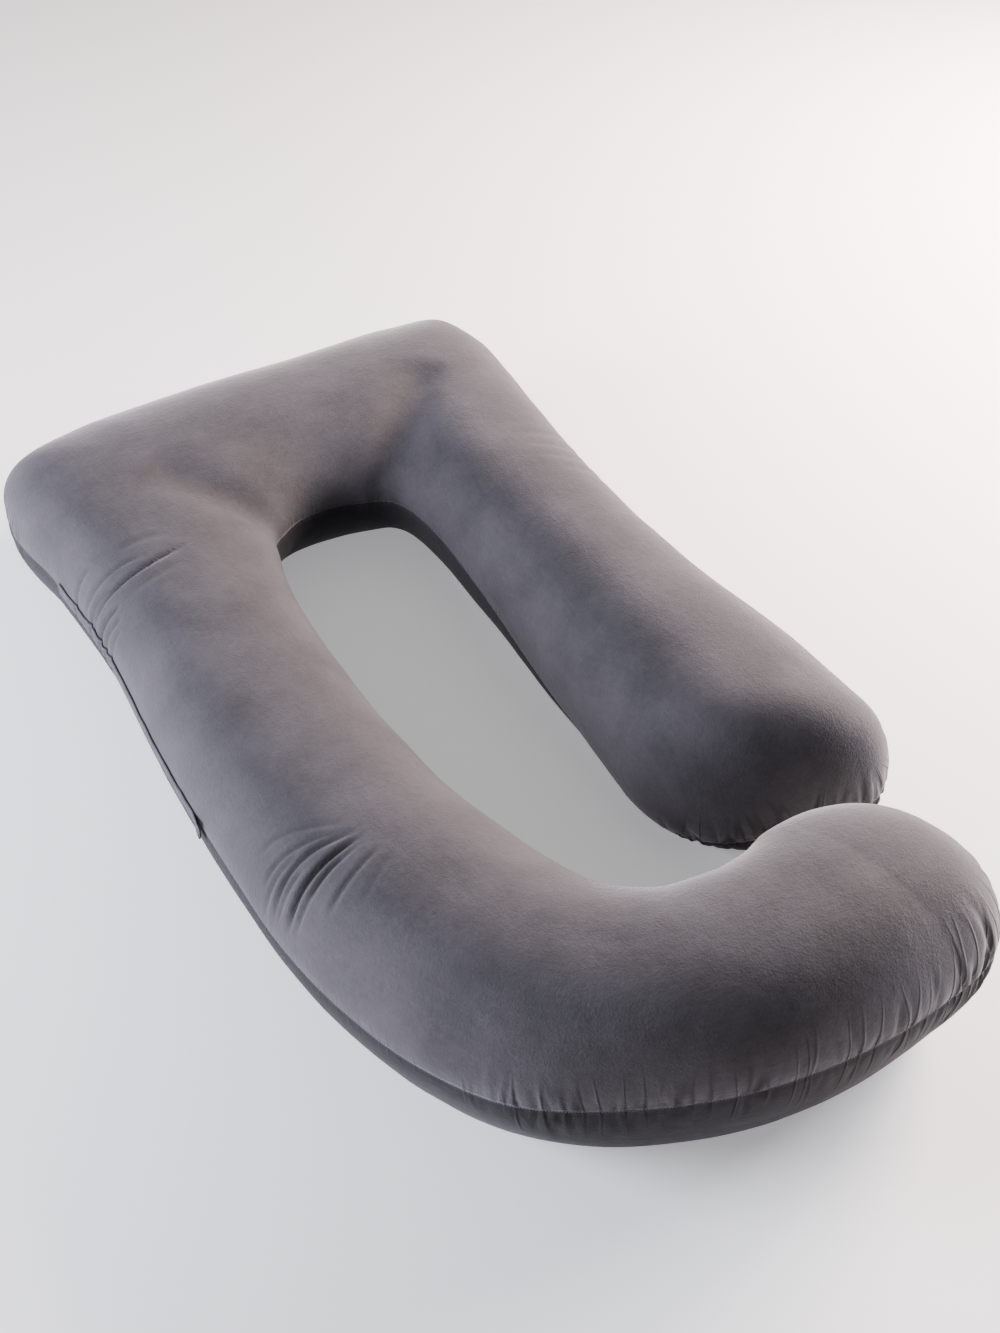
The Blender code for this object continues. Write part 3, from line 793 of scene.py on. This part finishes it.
# %% Zip flap
FLAP_TOP_Y = 1.165
FLAP_FOOT_Y = 0.655
FLAP_ABOVE = 0.0150  # from the seam to the upper lip, along the cover
FLAP_BELOW = 0.0062
FLAP_THICKNESS = 0.0018
FLAP_EDGE_FOLD = 0.0009  # extra thickness of the turned-in edges
FLAP_EDGE_PLACE = 0.80  # of the half width
FLAP_EDGE_REACH = 0.12  # of the half width
FLAP_BULGE = 0.0012  # how far its middle stands off the cover
FLAP_CLEARANCE = 0.0006
FLAP_WAVE = 0.0026  # how far its upper lip wanders
FLAP_WAVE_LENGTH = 0.022
FLAP_TUG = 1.6  # how much more it wanders where the folds tug at it
FLAP_TUG_AT = 0.140  # from its upper end
FLAP_TUG_REACH = 0.080
FLAP_REACH = 16  # columns of the cover on each side of the seam that it is laid on
FLAP_STEP = 0.0025
FLAP_POINTS_ACROSS = 21
FLARE_LENGTH = 0.030
FLARE_LIFT = 0.0050
FLARE_WIDENING = 0.35
FLARE_MIDDLE = 0.4  # how much of the lift its middle gets
WANDER_ROW = 7.3  # any line through the noise gives the lip another wander


def round_the_body(strip, distances):
    """Points on each row of a strip of the cover, at distances round the body from its seam."""
    steps = np.linalg.norm(np.diff(strip, axis=1), axis=2)
    travelled = np.concatenate([np.zeros((len(strip), 1)), np.cumsum(steps, axis=1)], axis=1)
    travelled -= travelled[:, FLAP_REACH : FLAP_REACH + 1]
    return np.array([
        [[np.interp(d, t, row[:, k]) for k in range(3)] for d in wanted]
        for t, row, wanted in zip(travelled, strip, distances)
    ])


def at_even_steps(values, travelled, wanted):
    """Rows of values, known at some distances along a line, read at the wanted distances."""
    flat = values.reshape(len(values), -1)
    read = np.stack([np.interp(wanted, travelled, column) for column in flat.T], -1)
    return read.reshape(len(wanted), *values.shape[1:])


def flap_strips():
    """The flap's inner and outer faces as grids: along the seam, and across from lip to lip."""
    seam_y = cover[:, 0, 1] - table_to_frame[1]
    covered = (cover[:, 0, 0] < 0) & (seam_y <= FLAP_TOP_Y) & (seam_y >= FLAP_FOOT_Y)
    strip = (cover + normals * groove[:, :, None])[covered][:, np.arange(-FLAP_REACH, FLAP_REACH + 1)]
    steps = np.linalg.norm(np.diff(strip[:, FLAP_REACH], axis=0), axis=1)
    travelled = np.append(0.0, np.cumsum(steps))
    wanted = np.linspace(0.0, travelled[-1], round(travelled[-1] / FLAP_STEP) + 1)
    strip = at_even_steps(strip, travelled, wanted)

    across = np.linspace(-1.0, 1.0, FLAP_POINTS_ACROSS)[None, :]
    flare = soft((travelled[-1] - wanted) / FLARE_LENGTH)[:, None]
    wander = [[noise.noise(Vector((0.0, WANDER_ROW, d / FLAP_WAVE_LENGTH)))] for d in wanted]
    tugged = 1 + FLAP_TUG * soft(np.abs(wanted - FLAP_TUG_AT) / FLAP_TUG_REACH)[:, None]
    above = FLAP_ABOVE * (1 + FLARE_WIDENING * flare) + FLAP_WAVE * tugged * np.array(wander)
    below = FLAP_BELOW * (1 + FLARE_WIDENING * flare)
    face = round_the_body(strip, (above - below) / 2 + (above + below) / 2 * across)
    out = unit(np.cross(np.gradient(face, axis=0), np.gradient(face, axis=1)))
    flared = FLARE_LIFT * flare * (FLARE_MIDDLE + (1 - FLARE_MIDDLE) * across**2)
    lift = FLAP_CLEARANCE + FLAP_BULGE * (1 - across**2) + flared
    from_edge = (np.abs(across) - FLAP_EDGE_PLACE) / FLAP_EDGE_REACH
    edge = FLAP_EDGE_FOLD * np.exp(-(from_edge**2))
    inner = face + out * lift[:, :, None]
    outer = inner + out * (FLAP_THICKNESS + edge)[:, :, None]
    return inner, outer, float(travelled[-1]), out


def build_flap(inner, outer):
    rings = np.concatenate([inner, outer[:, ::-1]], axis=1)
    count = rings.shape[1]
    last = (len(rings) - 1) * count
    caps = [list(range(count)), [last + k for k in reversed(range(count))]]
    sides = grid_faces(len(rings), count)[:, ::-1].tolist()
    mesh = bpy.data.meshes.new("zip_flap")
    mesh.from_pydata(rings.reshape(-1, 3).tolist(), [], sides + caps)
    mesh.shade_smooth()
    return add_object("zip_flap", mesh)


inner_face, outer_face, flap_length, flap_out = flap_strips()
flap = build_flap(inner_face, outer_face)

# %% Velvet pressed flat on the flap
FLAP_DARK = "#2c2a2f"
FLAP_LIGHT = "#454349"


def make_pressed_velvet():
    """The same knit, flattened by the top-stitching: even, dull and with little sheen."""
    material, tree, shader = new_material("pressed_velvet_of_the_zip_flap")
    place = add_node(tree, "ShaderNodeTexCoord").outputs["Object"]
    strokes = noise_factor(tree, place, STROKE_MM, 3.0, 0.34, 0.66)
    crush = noise_factor(tree, place, CRUSH_MM / 2, 4.0, 0.30, 0.70)
    shade = weighted_sum(tree, ((strokes, 0.6), (crush, 0.4)))
    grey = mixed(tree, shade, to_linear(FLAP_DARK), to_linear(FLAP_LIGHT))
    tree.links.new(grey, shader.inputs["Base Color"])
    tree.links.new(bumped(tree, crush, 0.5, 0.0005), shader.inputs["Normal"])
    shader.inputs["Roughness"].default_value = 0.85
    shader.inputs["Specular IOR Level"].default_value = 0.2
    shader.inputs["Sheen Weight"].default_value = 0.25
    shader.inputs["Sheen Roughness"].default_value = 0.4
    shader.inputs["Sheen Tint"].default_value = to_linear(VELVET_SHEEN)
    return material


flap.data.materials.append(make_pressed_velvet())
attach(flap, "root")

# %% [markdown]
# ## Stitches
#
# A seam is a row of equal stitches that follows a line, which is just what Geometry Nodes are for.
# One tree serves all rows: it turns a line of edges into a curve, sets points on it at the stitch
# pitch, and puts a small bead of thread on each, turned along the line. The result is made real
# and copied to a plain mesh. A real stitch is about 3 mm long. Its thread is a third of a
# millimetre thick, and is drawn a little thicker so that it shows.

# %% The stitch tree
STITCH_PITCH = 0.0034
STITCH_LENGTH = 0.0027
THREAD_RADIUS = 0.00032
THREAD_SIDES = 6
THREAD_RINGS = 4


def make_stitch_tree():
    tree = bpy.data.node_groups.new("row_of_stitches", "GeometryNodeTree")
    face = tree.interface
    face.new_socket("Geometry", in_out="INPUT", socket_type="NodeSocketGeometry")
    sockets = {}
    kinds = {"Pitch": "Float", "Stitch Length": "Float", "Thread Radius": "Float", "Thread": "Material"}
    for name, kind in kinds.items():
        socket = face.new_socket(name, in_out="INPUT", socket_type="NodeSocket" + kind)
        sockets[name] = socket.identifier
    face.new_socket("Geometry", in_out="OUTPUT", socket_type="NodeSocketGeometry")

    given = tree.nodes.new("NodeGroupInput").outputs
    line = add_node(tree, "GeometryNodeMeshToCurve", {"Mesh": given["Geometry"]})
    places = add_node(tree, "GeometryNodeCurveToPoints", {
        "Curve": line.outputs["Curve"], "Length": given["Pitch"],
    }, mode="LENGTH")
    half = maths(tree, "MULTIPLY", given["Stitch Length"], 0.5)
    size = add_node(tree, "ShaderNodeCombineXYZ", {
        "X": given["Thread Radius"], "Y": given["Thread Radius"], "Z": half,
    })
    bead = add_node(tree, "GeometryNodeMeshUVSphere", {
        "Segments": THREAD_SIDES, "Rings": THREAD_RINGS, "Radius": 1.0,
    })
    turned = add_node(tree, "FunctionNodeAlignRotationToVector", {
        "Vector": places.outputs["Tangent"],
    }, axis="Z")
    beads = add_node(tree, "GeometryNodeInstanceOnPoints", {
        "Points": places.outputs["Points"],
        "Instance": bead.outputs["Mesh"],
        "Rotation": turned.outputs["Rotation"],
        "Scale": size.outputs["Vector"],
    })
    real = add_node(tree, "GeometryNodeRealizeInstances", {"Geometry": beads.outputs["Instances"]})
    dressed = add_node(tree, "GeometryNodeSetMaterial", {
        "Geometry": real.outputs["Geometry"], "Material": given["Thread"],
    })
    add_node(tree, "NodeGroupOutput", {"Geometry": dressed.outputs["Geometry"]})
    return tree, sockets


stitch_tree, stitch_sockets = make_stitch_tree()
print("stitch tree with", len(stitch_tree.nodes), "nodes")

# %% Thread
THREAD_WORN = "#6d6a72"
THREAD_GREY = "#86838b"
WORN_MM = 40.0


def make_thread():
    """Spun polyester sewing thread: dull, a little lighter than the velvet round it."""
    material, tree, shader = new_material("spun_polyester_thread")
    place = add_node(tree, "ShaderNodeTexCoord").outputs["Object"]
    worn = noise_factor(tree, place, WORN_MM, 2.0, 0.35, 0.65)
    grey = mixed(tree, worn, to_linear(THREAD_WORN), to_linear(THREAD_GREY))
    tree.links.new(grey, shader.inputs["Base Color"])
    shader.inputs["Roughness"].default_value = 0.7
    shader.inputs["Specular IOR Level"].default_value = 0.3
    return material


thread = make_thread()

# %% Sew the rows
SEAM_THREAD_LIFT = 0.0004
TOP_STITCH_ROWS = (-0.86, -0.62, 0.62, 0.86)  # places across the flap, in half widths
TOP_STITCH_SINK = 0.0001


def sew(name, lines, closed):
    """A mesh of stitches along each line of points."""
    points, edges = [], []
    for line in lines:
        first = len(points)
        points.extend(line)
        edges.extend((first + k, first + k + 1) for k in range(len(line) - 1))
        if closed:
            edges.append((len(points) - 1, first))
    mesh = bpy.data.meshes.new(name)
    mesh.from_pydata([tuple(p) for p in points], edges, [])
    row = add_object(name, mesh)
    sewing = row.modifiers.new("stitches", "NODES")
    sewing.node_group = stitch_tree
    sewing[stitch_sockets["Pitch"]] = STITCH_PITCH
    sewing[stitch_sockets["Stitch Length"]] = STITCH_LENGTH
    sewing[stitch_sockets["Thread Radius"]] = THREAD_RADIUS
    sewing[stitch_sockets["Thread"]] = thread
    depsgraph = bpy.context.evaluated_depsgraph_get()
    stitched = bpy.data.meshes.new_from_object(row.evaluated_get(depsgraph))
    row.modifiers.remove(sewing)
    row.data = stitched
    row.data.shade_smooth()
    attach(row, "root")
    print(name, "has", len(stitched.polygons) // (THREAD_SIDES * THREAD_RINGS), "stitches")
    return row


def seam_path():
    """The bottom of the drawn-in seam, once round the pillow."""
    lifted = cover + normals * SEAM_THREAD_LIFT
    return np.concatenate([lifted[:, 0], ends[1:], lifted[::-1, COLUMNS_ABOVE], ends[:1]])


def flap_path(place):
    """A line along the flap at a place across it, just into its outer face."""
    across = np.linspace(-1.0, 1.0, FLAP_POINTS_ACROSS)
    sunk = outer_face - flap_out * TOP_STITCH_SINK
    return np.array([[np.interp(place, across, row[:, k]) for k in range(3)] for row in sunk])


seam_stitches = sew("side_seam_stitches", [seam_path()], closed=True)
top_stitches = sew("flap_top_stitching", [flap_path(place) for place in TOP_STITCH_ROWS], closed=False)
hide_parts("pillow")
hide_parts("zip_placket")

# %% [markdown]
# ## Studio
#
# The pillow lies on pale paper in soft light from the right, and pale walls fill the shadows. Two
# large soft lamps stand on the right, a warm one and a plain one, with a cool one on the left. The
# world is brighter above and to the right, and the paper glows a little, as if lit from below.

# %% Floor and light
FLOOR_SIZE = 60.0  # metres, so that its edge is far away in every view
PAPER_GLOW = 0.35  # keeps the paper pale under the shadows
WALLS_FADE_FROM = -0.6  # cosine of the angle to the brightest way where the walls are darkest


def add_floor():
    """A sheet of matt background paper, nearly white and without gloss."""
    half = FLOOR_SIZE / 2
    corners = [(-half, -half, 0), (half, -half, 0), (half, half, 0), (-half, half, 0)]
    mesh = bpy.data.meshes.new("paper_floor")
    mesh.from_pydata(corners, [], [(0, 1, 2, 3)])
    floor = add_object("paper_floor", mesh)
    material, tree, shader = new_material("pale_background_paper")
    shader.inputs["Base Color"].default_value = to_linear("#faf9f8")
    shader.inputs["Roughness"].default_value = 0.95
    shader.inputs["Specular IOR Level"].default_value = 0.1
    shader.inputs["Emission Color"].default_value = to_linear("#fbfbff")
    shader.inputs["Emission Strength"].default_value = PAPER_GLOW
    floor.data.materials.append(material)
    return floor


def add_lamp(name, place, aim, size, power, colour):
    data = bpy.data.lights.new(name, "AREA")
    data.shape = "DISK"
    data.size = size
    data.energy = power
    data.color = to_linear(colour)[:3]
    lamp = add_object(name, data)
    lamp.location = place
    lamp.rotation_euler = (Vector(aim) - Vector(place)).to_track_quat("-Z", "Y").to_euler()
    return lamp


def set_world(colour, brightest_way, darkest, brightest):
    """Walls that are bright in one direction and fall off softly to the opposite one."""
    world = bpy.data.worlds.new("studio_walls")
    world.use_nodes = True
    tree = world.node_tree
    way = add_node(tree, "ShaderNodeTexCoord").outputs["Generated"]
    facing = add_node(tree, "ShaderNodeVectorMath", {
        0: way, 1: Vector(brightest_way).normalized(),
    }, operation="DOT_PRODUCT")
    strength = add_node(tree, "ShaderNodeMapRange", {
        "Value": facing.outputs["Value"], "From Min": WALLS_FADE_FROM, "From Max": 1.0,
        "To Min": darkest, "To Max": brightest,
    }, interpolation_type="SMOOTHSTEP")
    background = tree.nodes["Background"]
    background.inputs["Color"].default_value = to_linear(colour)
    tree.links.new(strength.outputs["Result"], background.inputs["Strength"])
    bpy.context.scene.world = world


add_floor()
add_lamp("warm_lamp_right", (2.6, 0.35, 1.1), (0.1, 0.0, 0.1), size=1.3, power=350.0, colour="#ffe6d6")
add_lamp("plain_lamp_right", (2.6, -0.5, 1.1), (0.1, -0.2, 0.1), size=1.2, power=165.0, colour="#f4f4ff")
add_lamp("cool_lamp_left", (-2.4, 0.9, 0.85), (-0.1, 0.0, 0.1), size=1.5, power=250.0, colour="#e9ecfc")
set_world("#f3f1f2", (0.45, 0.30, 0.85), darkest=0.11, brightest=0.33)
print("studio ready")
